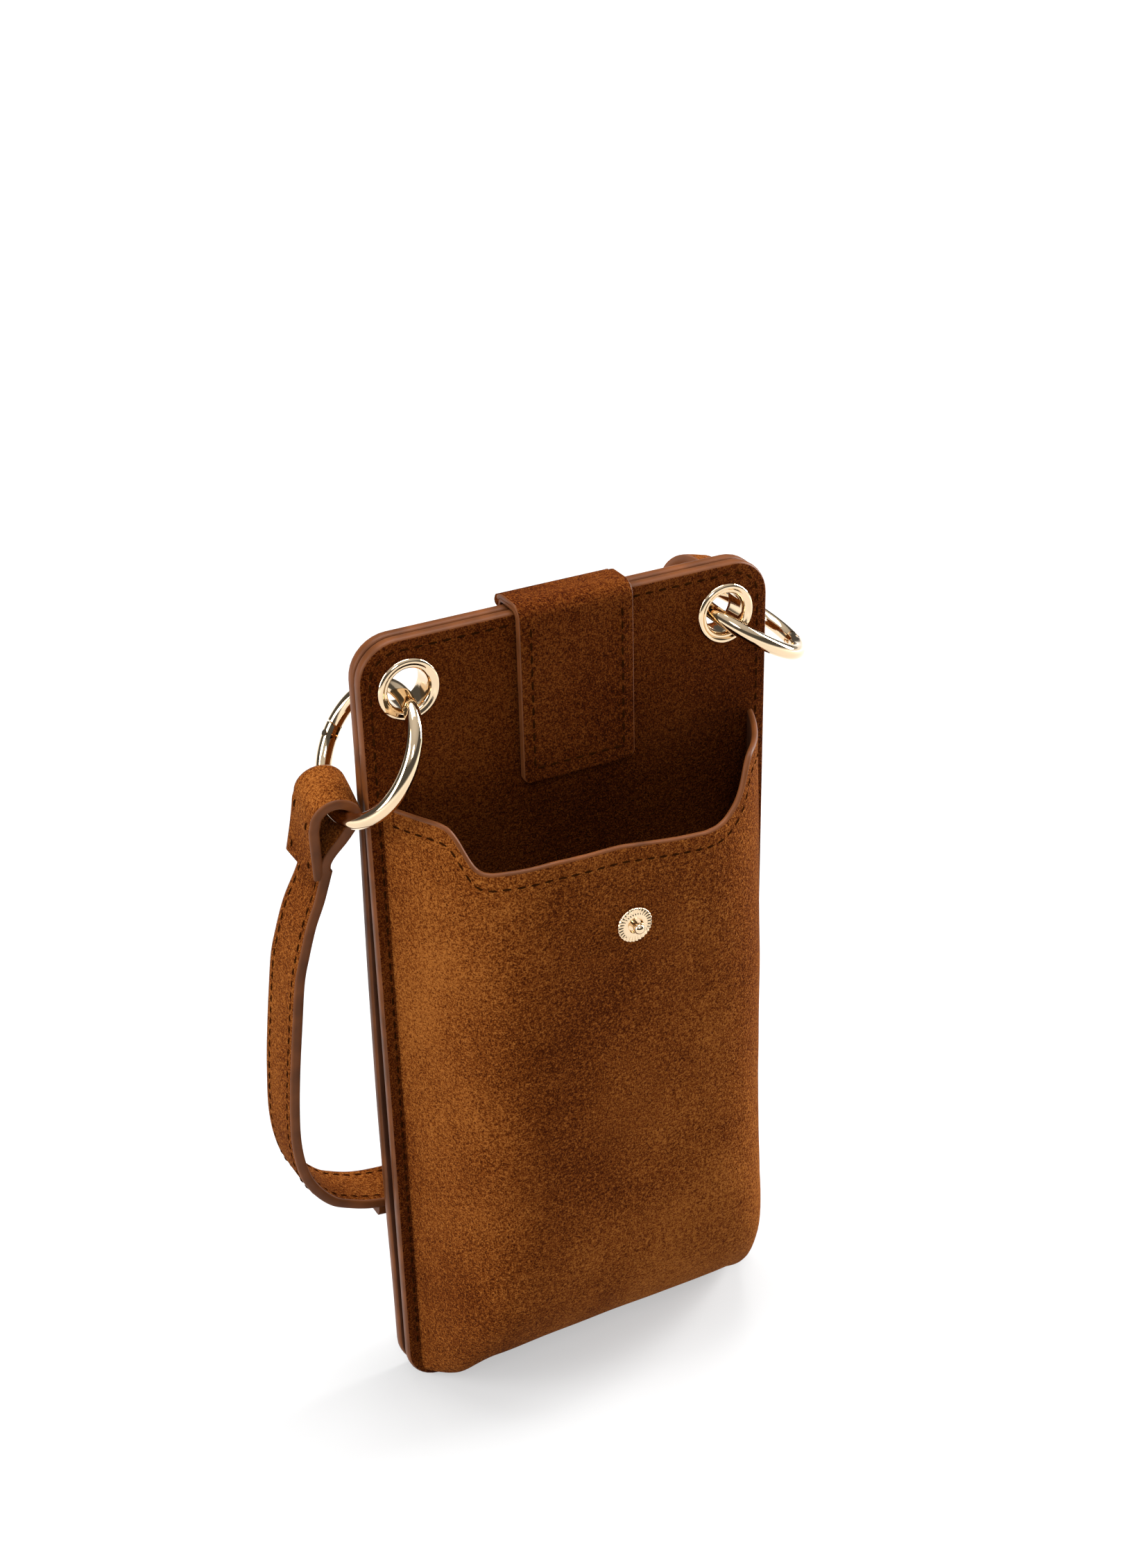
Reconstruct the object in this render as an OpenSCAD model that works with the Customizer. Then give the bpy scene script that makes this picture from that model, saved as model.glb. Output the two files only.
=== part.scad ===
// Wristlet phone wallet: two suede leaves sewn along one side, a deep phone pocket with a
// press stud, a fold-over tab, and a wrist strap looped on two gate rings that pass
// through eyelets. Millimetres, +Z up, front of the wallet faces -Y.
// Origin: middle of the front leaf's bottom edge, on the surface it stands on.

/* [Body] */
// Width of each leaf, painted edges included
body_w = 92.8; // [80:0.4:110]
// Height of each leaf
body_h = 186.5; // [150:0.5:220]
// Thickness of each leaf
leaf_t = 2.6; // [2:0.1:4]
// Thickness of the suede face of each leaf
skin_t = 0.9; // [0.5:0.1:1.4]
// Painted edge showing round the suede face
edge_w = 0.4; // [0.2:0.1:1]
// Corner radius of the leaves
corner_r = 8.5; // [4:0.5:14]
// Gap between the leaves at the top edge
top_gap = 0.4; // [0.3:0.1:2]
// How far the rear leaf bows away at its fullest
leaf_bow = 3.1; // [2:0.1:6]
// Thickness of the edge strip that joins the leaves on the right
spine_t = 0.6; // [0.4:0.1:1.2]

/* [Card slots] */
// Sheets in the card stack
slot_count = 6; // [1:1:6]
// Thickness of one sheet
slot_t = 0.3; // [0.2:0.05:0.35]
// Step between the top edges of the sheets
slot_step = 14.6; // [8:0.2:16]
// Height of the tallest sheet's top edge
slot_top = 136; // [100:1:145]

/* [Pocket] */
// Half width of the pocket at the leaf
pocket_half_w = 43.3; // [36:0.1:45]
// How far the pocket stands out from the leaf
pocket_d = 24.6; // [10:0.2:32]
// Thickness of the pocket leather
pocket_wall = 1.3; // [0.8:0.1:2]
// Height of the seam under the pocket
seam_z = 2.7; // [1:0.1:6]
// Height of the rim in the middle of the scoop
rim_z = 141.2; // [100:0.2:160]
// Rise of the rim from the scoop to the shoulders
shoulder_rise = 10.6; // [4:0.2:20]
// Half width of the level part of the scoop
scoop_half_w = 27.8; // [15:0.2:32]
// Width over which the rim climbs to a shoulder
scoop_run = 7.1; // [4:0.1:10]

/* [Press stud] */
// Height of the stud
stud_z = 124; // [60:1:130]
// Radius of the ribbed disc
stud_r = 4.0; // [3:0.1:6]
// Radius of the post
post_r = 0.8; // [0.6:0.1:1.2]

/* [Tab] */
// Width of the tab
tab_w = 25.8; // [16:0.2:40]
// Height of the tab's free end
tab_end_z = 149.5; // [120:0.5:160]
// Thickness of the tab's outer layer
tab_outer_t = 0.95; // [0.6:0.1:1.4]
// Thickness of the tab's lining
tab_inner_t = 0.75; // [0.6:0.1:1.4]
// Length of the part sewn on the rear leaf
tab_anchor_l = 26; // [12:1:50]

/* [Eyelets] */
// Distance of each eyelet from the middle
eyelet_x = 36; // [28:0.5:38]
// Distance of the eyelets below the top edge
eyelet_drop = 10.9; // [9:0.1:16]
// Radius of the eyelet's hole
eyelet_hole_r = 4.34; // [3.5:0.02:5.5]
// Outer radius of the eyelet's flange
eyelet_r = 6.72; // [5.5:0.02:8]
// Wall of the eyelet's barrel
barrel_t = 0.5; // [0.3:0.1:0.8]
// How far the flange stands out
flange_t = 1.0; // [0.6:0.1:1.6]

/* [Rings] */
// Radius of each ring at the middle of its wire
ring_r = 13.9; // [12:0.1:18]
// Radius of the wire
wire_r = 1.65; // [1.2:0.05:2.2]
// Angle the gate covers, from rivet to free end
gate_deg = 62; // [40:1:80]
// Thickness of the tongue on the gate
tongue_t = 0.9; // [0.6:0.1:1.4]
// Radius of the rivet
rivet_r = 0.8; // [0.5:0.1:1]

/* [Strap] */
// Width of the strap
strap_w = 12.5; // [8:0.5:18]
// Thickness of the strap
strap_t = 2.2; // [1.6:0.1:3]
// Inner radius of the loops at the strap's ends
loop_r = 3.2; // [3:0.1:5]

/* [Fits] */
// Clearance round pieces that are fixed in a hole
fit_gap = 0.05; // [0.02:0.01:0.1]
// Clearance round the rivets
pin_gap = 0.06; // [0.02:0.01:0.1]
// Clearance between pieces that move past each other
move_gap = 0.35; // [0.3:0.05:0.8]

/* [Hidden] */
$fn = 48;
front_y = -leaf_t/2;
back_y = leaf_t/2;
eyelet_z = body_h - eyelet_drop;
barrel_r = eyelet_hole_r + barrel_t;
// Bow of the rear leaf: share of the height, share of the full bow
BOW = [[0, 0.58], [0.134, 0.645], [0.241, 0.87], [0.402, 1], [0.59, 0.742],
       [0.724, 0.355], [0.847, 0], [1, 0]];
function rear_y(z) = back_y + top_gap + leaf_bow*lookup(z/body_h, BOW);
rear_top_y = rear_y(body_h) + leaf_t;
slot_foot = 14;
// Pocket outline, share of half width, and how it deepens above the seam
ACROSS = [0.1, 0.3, 0.5, 0.62, 0.72, 0.8, 0.86, 0.91, 0.95, 0.98, 1];
POCKET_P = 7;
DEEPEN = [[0, 0], [3.3, 0.2], [7.3, 0.38], [12.3, 0.59], [17.3, 0.75], [24.3, 0.89],
          [33.3, 0.97], [47.3, 1], [160, 1]];
shoulder_z = rim_z + shoulder_rise;
pocket_face_y = front_y - pocket_d;
pocket_in_y = pocket_face_y + pocket_wall;
disc_t = 1.0;
cap_r = 3.4;
cap_t = 0.8;
ball_r = 1.2;
// Tab: the fold runs over both leaves and ends in a roll on its hinge line
tab_t = tab_outer_t + tab_inner_t;
tab_off = 0.9;
tab_in_y = front_y - tab_off;
tab_gap = 0.4;
tab_in_z = body_h + tab_gap;
tab_fold_r = 0.5;
roll_r = 1.35;
roll_y = rear_top_y + 1.7;
roll_z = body_h;
socket_r = 4.2;
// Each ring: centre, tilt, turn, angle of its rivet, and which way round the gate lies
RING_L = [-43.96, 2.31, -13.52];
RING_R = [45.92, 7.6, -6.4];
TURN_L = [0, 58.1, -172.3];
TURN_R = [0, 32.1, -13.6];
RIVET_L = 276;
RIVET_R = -5;
seam_r = 2.5;
tongue_w = 1.3;
gate_reach = 2*ring_r*sin(gate_deg/2);
// Strap centre line and the direction of its width, from the left loop to the right one
ROUTE = [[-54.1, 8.7, 137.9], [-56.3, 8.8, 132], [-59, 9, 126], [-61, 9.5, 119],
         [-62.5, 10, 112], [-64, 11, 98], [-65.2, 12, 84], [-65.4, 13.2, 72],
         [-64, 14.6, 62], [-61.6, 15.6, 55.5], [-57.5, 16.6, 49.8], [-53.4, 17, 46.8],
         [-46, 17.3, 43.8], [-34, 17.5, 42.2], [-18, 17.6, 41.6], [0, 17.6, 42],
         [16, 17.6, 44.5], [30, 17.8, 50.5], [39, 18, 60], [44, 18, 74], [45.5, 18, 92],
         [44.5, 18, 110], [42, 18.2, 128], [38.4, 18, 146], [34.8, 17.3, 162.6]];
WIDTHS = [[0.1, 0.97, 0.2], [0.04, 1, 0.14], [-0.04, 1, 0.08], [-0.08, 1, 0.05],
          [-0.09, 1, 0.03], [-0.09, 1, 0], [-0.08, 1, 0], [-0.06, 1, 0], [-0.04, 1, 0],
          [-0.02, 1, 0], [0, 1, 0], [0, 1, 0], [0, 1, 0], [0, 1, 0], [0, 1, 0], [0, 1, 0],
          [0, 1, 0], [0, 1, 0], [0, 1, 0], [0.05, 1, 0], [0.15, 1, -0.02],
          [0.3, 0.9, -0.08], [0.5, 0.8, -0.18], [0.65, 0.68, -0.28], [0.74, 0.57, -0.36]];
LAP = [[-46.4, 17.3, 41.7], [-40, 17.5, 40.7], [-32, 17.5, 39.9]];
LOOP_L = [-52, 5.75, 151.1];
LOOP_R = [40.1, 18.3, 175.1];
LOOP_TURN_L = [12, 0, -6];
LOOP_TURN_R = [-21.4, 0, -52.3];

// ---- helpers ----
module along_x(w) { translate([-w/2, 0, 0]) rotate([90, 0, 90]) linear_extrude(w) children(); }
module along_y(y0, y1) { translate([0, y1, 0]) rotate([90, 0, 0]) linear_extrude(y1 - y0) children(); }
module plate(w, h, r, z0) {
  translate([-w/2 + r, z0]) square([w - 2*r, h]);
  translate([-w/2, z0 + r]) square([w, h - 2*r]);
  for (x = [-w/2 + r, w/2 - r], z = [z0 + r, z0 + h - r]) translate([x, z]) circle(r);
}
module eyelet_holes(y0, y1) {
  for (s = [-1, 1]) translate([s*eyelet_x, y1, eyelet_z]) rotate([90, 0, 0])
    cylinder(r = barrel_r + fit_gap, h = y1 - y0);
}
module rear_band(a, b) {
  along_x(body_w) polygon(concat(
    [for (p = BOW) [rear_y(p[0]*body_h) + a, p[0]*body_h]],
    [for (i = [len(BOW) - 1:-1:0]) [rear_y(BOW[i][0]*body_h) + b, BOW[i][0]*body_h]]));
}

// ---- leaves ----
module front_leaf_skin() color([0.55, 0.33, 0.16]) difference() {
  along_y(front_y, front_y + skin_t)
    plate(body_w - 2*edge_w, body_h - 2*edge_w, corner_r - edge_w, edge_w);
  eyelet_holes(front_y - 1, back_y);
}
module front_leaf_core() color([0.42, 0.24, 0.14]) difference() {
  along_y(front_y + skin_t, back_y) plate(body_w, body_h, corner_r, 0);
  eyelet_holes(front_y, back_y + 1);
}
module rear_leaf_core() color([0.42, 0.24, 0.14]) difference() {
  intersection() {
    rear_band(0, leaf_t - skin_t);
    along_y(0, 30) plate(body_w, body_h, corner_r, 0);
  }
  eyelet_holes(0, 30);
}
module rear_leaf_skin() color([0.55, 0.33, 0.16]) difference() {
  intersection() {
    rear_band(leaf_t - skin_t, leaf_t);
    along_y(0, 30) plate(body_w - 2*edge_w, body_h - 2*edge_w, corner_r - edge_w, edge_w);
  }
  eyelet_holes(0, 30);
}
module spine() color([0.42, 0.24, 0.14])
  translate([body_w/2, 0, 0.11*body_h])
    cube([spine_t, back_y + top_gap + leaf_bow, 0.77*body_h]);

// Each sheet lies on the one behind it and ends slot_step lower
module card_slot(i) color([0.5, 0.3, 0.17]) {
  top = slot_top - i*slot_step;
  zs = concat([slot_foot], [for (p = BOW) let (z = p[0]*body_h) if (z > slot_foot && z < top) z], [top]);
  along_x(body_w - 3.8) polygon(concat(
    [for (z = zs) [rear_y(z) - (i + 1)*slot_t, z]],
    [for (k = [len(zs) - 1:-1:0]) [rear_y(zs[k]) - i*slot_t, zs[k]]]));
}
module card_slot_1() card_slot(0);
module card_slot_2() card_slot(1);
module card_slot_3() card_slot(2);
module card_slot_4() card_slot(3);
module card_slot_5() card_slot(4);
module card_slot_6() card_slot(5);

// ---- pocket ----
module pocket_form(a, d, z0, r) {
  intersection() {
    translate([0, 0, z0]) linear_extrude(shoulder_z - z0) polygon(concat(
      [for (i = [len(ACROSS) - 1:-1:0]) [-a*ACROSS[i], front_y - d*(1 - pow(ACROSS[i], POCKET_P))]],
      [for (f = ACROSS) [a*f, front_y - d*(1 - pow(f, POCKET_P))]]));
    along_x(2*a + 2) polygon(concat(
      [for (p = DEEPEN) [front_y - d*p[1], z0 + p[0]]],
      [[front_y, z0 + 160], [front_y, z0]]));
    along_y(front_y - d - 1, front_y) plate(2*a, 160, r, z0);
  }
}
module pocket() color([0.58, 0.36, 0.18]) difference() {
  pocket_form(pocket_half_w, pocket_d, seam_z, 6);
  pocket_form(pocket_half_w - pocket_wall, pocket_d - pocket_wall, seam_z + pocket_wall, 5);
  along_y(front_y - pocket_d - 2, front_y + 1) polygon(concat(
    [[-60, shoulder_z + 20], [-60, shoulder_z]],
    [for (k = [8:-1:0]) let (t = k/8) [-scoop_half_w - t*scoop_run, rim_z + shoulder_rise*t*t*(3 - 2*t)]],
    [for (k = [0:8]) let (t = k/8) [scoop_half_w + t*scoop_run, rim_z + shoulder_rise*t*t*(3 - 2*t)]],
    [[60, shoulder_z], [60, shoulder_z + 20]]));
  translate([0, pocket_in_y + 1, stud_z]) rotate([90, 0, 0])
    cylinder(r = post_r + fit_gap, h = pocket_wall + 2);
}

// ---- press stud ----
module stud_disc() color([0.83, 0.69, 0.42]) translate([0, pocket_face_y, stud_z])
  rotate([90, 0, 0]) difference() {
    union() {
      cylinder(r = stud_r - 0.3, h = disc_t);
      for (i = [0:27]) rotate([0, 0, i*360/28]) translate([stud_r - 0.35, 0, 0])
        cylinder(r = 0.35, h = disc_t, $fn = 24);
    }
    translate([0, 0, disc_t - 0.3]) difference() {
      cylinder(r = 2.7, h = 1);
      cylinder(r = 1.5, h = 1);
    }
    translate([0, 0, -1]) cylinder(r = post_r + fit_gap, h = disc_t + 2);
  }
module stud_post() color([0.83, 0.69, 0.42]) translate([0, pocket_in_y, stud_z])
  rotate([90, 0, 0]) union() {
    cylinder(r = post_r, h = pocket_wall + disc_t + 1);
    translate([0, 0, pocket_wall + disc_t + ball_r]) sphere(r = ball_r);
  }
module stud_back() color([0.83, 0.69, 0.42]) translate([0, pocket_in_y + cap_t, stud_z])
  rotate([90, 0, 0]) cylinder(r = cap_r, h = cap_t);

// ---- tab ----
module tab_band(w, o, t) {
  // one layer: hangs in front, folds over the top and runs back to the roll
  hang = tab_fold_r + o;
  fy = tab_in_y + tab_fold_r;
  fz = tab_in_z - tab_fold_r;
  union() {
    translate([-w/2, tab_in_y - o - t, tab_end_z]) cube([w, t, fz - tab_end_z]);
    translate([-w/2, fy, fz]) rotate([90, 0, 90]) difference() {
      cylinder(r = hang + t, h = w);
      translate([0, 0, -1]) cylinder(r = hang, h = w + 2);
      translate([0, -10, -1]) cube([10, 20, w + 2]);
      translate([-10, -10, -1]) cube([20, 10, w + 2]);
    }
    translate([-w/2, fy, tab_in_z + o]) cube([w, rear_top_y - fy, t]);
    translate([-w/2, rear_top_y, body_h]) rotate([90, 0, 90]) difference() {
      cylinder(r = tab_gap + o + t, h = w);
      translate([0, 0, -1]) cylinder(r = tab_gap + o, h = w + 2);
      translate([-10, -10, -1]) cube([10, 20, w + 2]);
      translate([-10, -10, -1]) cube([20, 10, w + 2]);
    }
  }
}
module tab_roll() translate([-tab_w/2, roll_y, roll_z]) rotate([90, 0, 90]) cylinder(r = roll_r, h = tab_w);
module tab_outer() color([0.55, 0.33, 0.16]) union() {
  tab_band(tab_w, tab_inner_t, tab_outer_t);
  tab_roll();
}
module tab_inner() color([0.42, 0.24, 0.14]) difference() {
  tab_band(tab_w, 0, tab_inner_t);
  tab_roll();
  translate([0, tab_in_y + 1, tab_end_z + 8]) rotate([90, 0, 0])
    cylinder(r = socket_r + fit_gap, h = tab_inner_t + 1);
}
module tab_socket() color([0.83, 0.69, 0.42])
  translate([0, tab_in_y + 0.1, tab_end_z + 8]) rotate([90, 0, 0]) difference() {
    cylinder(r = socket_r, h = tab_inner_t + 0.1);
    translate([0, 0, -1]) cylinder(r = ball_r + 0.1, h = tab_inner_t + 0.7);
  }
module tab_anchor() color([0.55, 0.33, 0.16])
  translate([-tab_w/2, rear_top_y, roll_z - roll_r - move_gap - tab_anchor_l])
    cube([tab_w, tab_t, tab_anchor_l]);

// ---- eyelets ----
module flange() rotate_extrude() {
  // one lip, its underside on z = 0: it flares out of the barrel and curls to the leaf
  h = flange_t;
  polygon([[barrel_r, -0.9], [eyelet_hole_r, -0.9], [eyelet_hole_r + 0.16, -0.1*h],
           [eyelet_hole_r + 0.56, 0.6*h], [eyelet_hole_r + 1.16, h], [eyelet_r - 0.8, h],
           [eyelet_r - 0.3, 0.7*h], [eyelet_r, 0.3*h], [eyelet_r, 0], [barrel_r, 0]]);
}
module eyelet(x) color([0.83, 0.69, 0.42]) union() {
  translate([x, front_y, eyelet_z]) rotate([90, 0, 0]) flange();
  translate([x, rear_top_y - 0.9, eyelet_z]) rotate([90, 0, 0]) difference() {
    cylinder(r = barrel_r, h = rear_top_y - front_y - 1.8);
    translate([0, 0, -1]) cylinder(r = eyelet_hole_r, h = rear_top_y - front_y + 2);
  }
}
module eyelet_washer(x) color([0.83, 0.69, 0.42])
  translate([x, rear_top_y, eyelet_z]) rotate([-90, 0, 0]) flange();
module eyelet_left() eyelet(-eyelet_x);
module eyelet_right() eyelet(eyelet_x);
module eyelet_washer_left() eyelet_washer(-eyelet_x);
module eyelet_washer_right() eyelet_washer(eyelet_x);

// ---- gate rings, drawn flat with the rivet at angle 0 and the gate on the +Y side ----
module wire(a0, da, r) rotate([0, 0, a0]) rotate_extrude(angle = da) translate([ring_r, 0]) circle(r);
module round_pivot(r, h) translate([ring_r, 0, -h/2]) cylinder(r = r, h = h);
module ring_flat() difference() {
  rotate_extrude() translate([ring_r, 0]) circle(wire_r);
  // room for the gate
  intersection() {
    rotate([0, 0, 0]) rotate_extrude(angle = gate_deg + 12) translate([ring_r - 4, -4]) square([8, 8]);
    difference() {
      round_pivot(gate_reach + move_gap, 9);
      round_pivot(seam_r, 10);
    }
  }
  // slot for the tongue
  round_pivot(tongue_w + move_gap, tongue_t + 2*move_gap);
  translate([ring_r - 4, 0, -tongue_t/2 - move_gap]) cube([8, 6, tongue_t + 2*move_gap]);
  round_pivot(rivet_r, 9);
}
module gate_flat() union() {
  intersection() {
    wire(2, gate_deg + 8, wire_r);
    difference() {
      round_pivot(gate_reach, 9);
      round_pivot(seam_r + move_gap, 10);
    }
  }
  difference() {
    union() {
      round_pivot(tongue_w, tongue_t);
      translate([ring_r - 1.1, 0, -tongue_t/2]) cube([2, seam_r + 1.6, tongue_t]);
    }
    round_pivot(rivet_r + pin_gap, 9);
  }
}
module rivet_flat() round_pivot(rivet_r, 2*wire_r - 0.2);
module place_left() translate([RING_L[0], RING_L[1], eyelet_z + RING_L[2]]) rotate(TURN_L)
  rotate([0, 0, RIVET_L]) rotate([180, 0, 0]) children();
module place_right() translate([RING_R[0], RING_R[1], eyelet_z + RING_R[2]]) rotate(TURN_R)
  rotate([0, 0, RIVET_R]) children();
module ring_left() color([0.87, 0.74, 0.5]) place_left() ring_flat();
module ring_right() color([0.87, 0.74, 0.5]) place_right() ring_flat();
module gate_left() color([0.87, 0.74, 0.5]) place_left() gate_flat();
module gate_right() color([0.87, 0.74, 0.5]) place_right() gate_flat();
module rivet_left() color([0.87, 0.74, 0.5]) place_left() rivet_flat();
module rivet_right() color([0.87, 0.74, 0.5]) place_right() rivet_flat();

// ---- strap ----
module loop_form() rotate([90, 0, 0]) translate([0, 0, -strap_w/2]) linear_extrude(strap_w) {
  ro = loop_r + strap_t;
  x0 = -loop_r - 0.3;
  difference() {
    polygon(concat([for (a = [0:12:180]) ro*[cos(a), sin(a)]],
      [[x0 - strap_t, -13], [x0, -13], [x0, -14.5], [x0 + strap_t, -14.5], [x0 + strap_t, -9.8]]));
    polygon(concat([for (a = [0:15:180]) loop_r*[cos(a), sin(a)]], [[x0 + 0.1, -9.8]]));
  }
}
module strap_loop_left() color([0.55, 0.33, 0.16]) translate(LOOP_L) rotate(LOOP_TURN_L) loop_form();
module strap_loop_right() color([0.55, 0.33, 0.16]) translate(LOOP_R) rotate(LOOP_TURN_R) loop_form();

function unit(v) = v/norm(v);
function between(a, b, c, d, t) = 0.5*((2*b) + (c - a)*t + (2*a - 5*b + 4*c - d)*t*t + (3*b - a - 3*c + d)*t*t*t);
function eased(P, steps) = let (n = len(P)) concat(
  [for (i = [0:n - 2], k = [0:steps - 1])
    between(P[max(i - 1, 0)], P[i], P[i + 1], P[min(i + 2, n - 1)], k/steps)], [P[n - 1]]);
module band(P, W) {
  h = strap_w/2;
  e = strap_t/2;
  c = 0.4;
  sec = [[h, c - e], [h, e - c], [h - c, e], [c - h, e], [-h, e - c], [-h, c - e], [c - h, -e], [h - c, -e]];
  n = len(P);
  m = len(sec);
  pts = [for (i = [0:n - 1]) let (
      t = unit(P[min(i + 1, n - 1)] - P[max(i - 1, 0)]),
      u = unit(W[i] - (W[i]*t)*t), v = cross(t, u))
    for (q = sec) P[i] + q[0]*u + q[1]*v];
  polyhedron(pts, concat(
    [[for (j = [0:m - 1]) j]],
    [[for (j = [m - 1:-1:0]) (n - 1)*m + j]],
    [for (i = [0:n - 2], j = [0:m - 1]) [i*m + j, (i + 1)*m + j, (i + 1)*m + (j + 1)%m]],
    [for (i = [0:n - 2], j = [0:m - 1]) [i*m + j, (i + 1)*m + (j + 1)%m, i*m + (j + 1)%m]]));
}
module strap() color([0.55, 0.33, 0.16]) band(eased(ROUTE, 3), eased(WIDTHS, 3));
module strap_lap() color([0.5, 0.3, 0.15]) band(eased(LAP, 3), [for (i = [0:6]) [0, 1, 0]]);

front_leaf_skin();
front_leaf_core();
rear_leaf_core();
rear_leaf_skin();
spine();
card_slot_1();
card_slot_2();
card_slot_3();
card_slot_4();
card_slot_5();
card_slot_6();
pocket();
stud_disc();
stud_post();
stud_back();
tab_outer();
tab_inner();
tab_anchor();
tab_socket();
eyelet_left();
eyelet_right();
eyelet_washer_left();
eyelet_washer_right();
ring_left();
ring_right();
gate_left();
gate_right();
rivet_left();
rivet_right();
strap_loop_left();
strap_loop_right();
strap();
strap_lap();
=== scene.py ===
import math

import bmesh
import bpy
import numpy as np
from mathutils import Matrix, Vector, noise


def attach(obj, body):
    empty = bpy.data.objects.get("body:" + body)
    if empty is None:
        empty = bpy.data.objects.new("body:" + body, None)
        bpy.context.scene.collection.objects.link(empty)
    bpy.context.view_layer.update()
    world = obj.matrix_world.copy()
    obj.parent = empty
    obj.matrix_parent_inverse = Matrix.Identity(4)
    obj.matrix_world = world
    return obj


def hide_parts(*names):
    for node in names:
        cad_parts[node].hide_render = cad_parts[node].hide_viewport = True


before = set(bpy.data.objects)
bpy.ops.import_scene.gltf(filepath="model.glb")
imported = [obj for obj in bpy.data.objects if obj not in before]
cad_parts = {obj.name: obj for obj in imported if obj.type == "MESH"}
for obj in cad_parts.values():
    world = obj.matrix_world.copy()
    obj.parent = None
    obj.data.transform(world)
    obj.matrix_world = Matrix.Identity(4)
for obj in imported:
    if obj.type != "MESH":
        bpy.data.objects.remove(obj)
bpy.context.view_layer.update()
MM = 0.001

# ---------------------------------------------------------------- sizes, in millimetres
W, H, LEAF, CORNER = 92.8, 186.5, 2.6, 8.5
FRONT, BACK = -1.3, 1.3
GAP, BOW_BY = 0.4, 3.1
BOW = [(0, 0.58), (0.134, 0.645), (0.241, 0.87), (0.402, 1), (0.59, 0.742), (0.724, 0.355),
       (0.847, 0), (1, 0)]
EYE_X, EYE_Z, EYE_R, EYE_HOLE = 36.0, 175.6, 6.72, 4.34
REAR_OUT = 4.3
POCKET_A, POCKET_D, POCKET_T = 43.3, 24.6, 1.3
SEAM = 2.7
RIM_LINE = [(-43.3, 151.2), (-38, 151.2), (-36.2, 150.9), (-35.2, 149.8), (-34.6, 148.3),
            (-33.7, 145.6), (-32.7, 143.0), (-31.6, 141.8), (-30, 141.4), (-26.6, 141.8),
            (-17, 142.4), (-2, 142.0), (11, 140.2), (18, 139.5), (21, 139.7), (23.5, 140.5),
            (27, 142.9), (29.3, 145.8), (30.6, 148.8), (31.6, 150.6), (33, 151.3),
            (36, 151.4), (43.3, 151.2)]
STUD_Z = 124.0
TAB_W, TAB_END = 25.8, 149.5
ROLL, ROLL_R, TAB_OUT, TAB_IN = (6.0, 186.5), 1.35, 0.95, 0.75
TAB_T = TAB_OUT + TAB_IN
STRAP_W, STRAP_T, LOOP_R = 12.5, 2.2, 3.2
ROUTE = [(-54.1, 8.7, 137.9), (-56.3, 8.8, 132), (-59, 9, 126), (-61, 9.5, 119),
         (-62.5, 10, 112), (-64, 11, 98), (-65.2, 12, 84), (-65.4, 13.2, 72),
         (-64, 14.6, 62), (-61.6, 15.6, 55.5), (-57.5, 16.6, 49.8), (-53.4, 17, 46.8),
         (-46, 17.3, 43.8), (-34, 17.5, 42.2), (-18, 17.6, 41.6), (0, 17.6, 42),
         (16, 17.6, 44.5), (30, 17.8, 50.5), (39, 18, 60), (44, 18, 74), (45.5, 18, 92),
         (44.5, 18, 110), (42, 18.2, 128), (38.4, 18, 146), (34.8, 17.3, 162.6)]
WIDTHS = [(0.1, 0.97, 0.2), (0.04, 1, 0.14), (-0.04, 1, 0.08), (-0.08, 1, 0.05),
          (-0.09, 1, 0.03), (-0.09, 1, 0), (-0.08, 1, 0), (-0.06, 1, 0), (-0.04, 1, 0),
          (-0.02, 1, 0), (0, 1, 0), (0, 1, 0), (0, 1, 0), (0, 1, 0), (0, 1, 0), (0, 1, 0),
          (0, 1, 0), (0, 1, 0), (0, 1, 0), (0.05, 1, 0), (0.15, 1, -0.02),
          (0.3, 0.9, -0.08), (0.5, 0.8, -0.18), (0.65, 0.68, -0.28), (0.74, 0.57, -0.36)]
LAP = [(-46.4, 17.3, 41.7), (-40, 17.5, 40.7), (-32, 17.5, 39.9)]
# each loop's middle, and its turns about X, Y and Z in degrees
LOOPS = {"left": ((-52, 5.75, 151.1), (12, 0, -6)),
         "right": ((40.1, 18.3, 175.1), (-21.4, 0, -52.3))}
EYE_WALL = 0.45
STITCH, LEAF_SEW, TAB_SEW, STRAP_SEW, LOOP_SEW = 2.9, 2.4, 2.6, 1.9, 2.4
BESIDE_TAB = TAB_W / 2 + 0.6
# height and half width of the leaf margin below the pocket that gets painted shade
SHADE_TOP, SHADE_HALF = 3.0, 40
SLOTS, SLOT_TOP, SLOT_STEP, SLOT_FOOT, SLOT_HALF, SLOT_T = 6, 136, 14.6, 14, 44.5, 0.3
# slow swells in the pocket's leather: how fast along X, the place in Y, along Z, and how high
SWELLS = ((0.045, 3.1, 0.03, 0.45), (0.11, 7.7, 0.09, 0.16))
RIBS, RIB_HEIGHT = 30, 0.22
TAB_CORNER, TAB_FACE, SEAM_TOP = 1.4, -2.2, 184.0

# ---------------------------------------------------------------- camera


def camera():
    data = bpy.data.cameras.new("camera")
    data.lens, data.sensor_width, data.sensor_fit = 49.88, 36.0, "AUTO"
    data.clip_start, data.clip_end = 0.01, 50
    ob = bpy.data.objects.new("camera", data)
    bpy.context.scene.collection.objects.link(ob)
    a, e, roll = (math.radians(v) for v in (-27.18, 28.19, -1.44))
    back = Vector((math.sin(a) * math.cos(e), -math.cos(a) * math.cos(e), math.sin(e)))
    right = Vector((math.cos(a), math.sin(a), 0))
    up = back.cross(right)
    r2 = right * math.cos(roll) + up * math.sin(roll)
    u2 = up * math.cos(roll) - right * math.sin(roll)
    m = Matrix((r2, u2, back)).transposed().to_4x4()
    m.translation = Vector((-0.1825, -0.3558, 0.3586))
    ob.matrix_world = m
    bpy.context.scene.camera = ob


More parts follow.
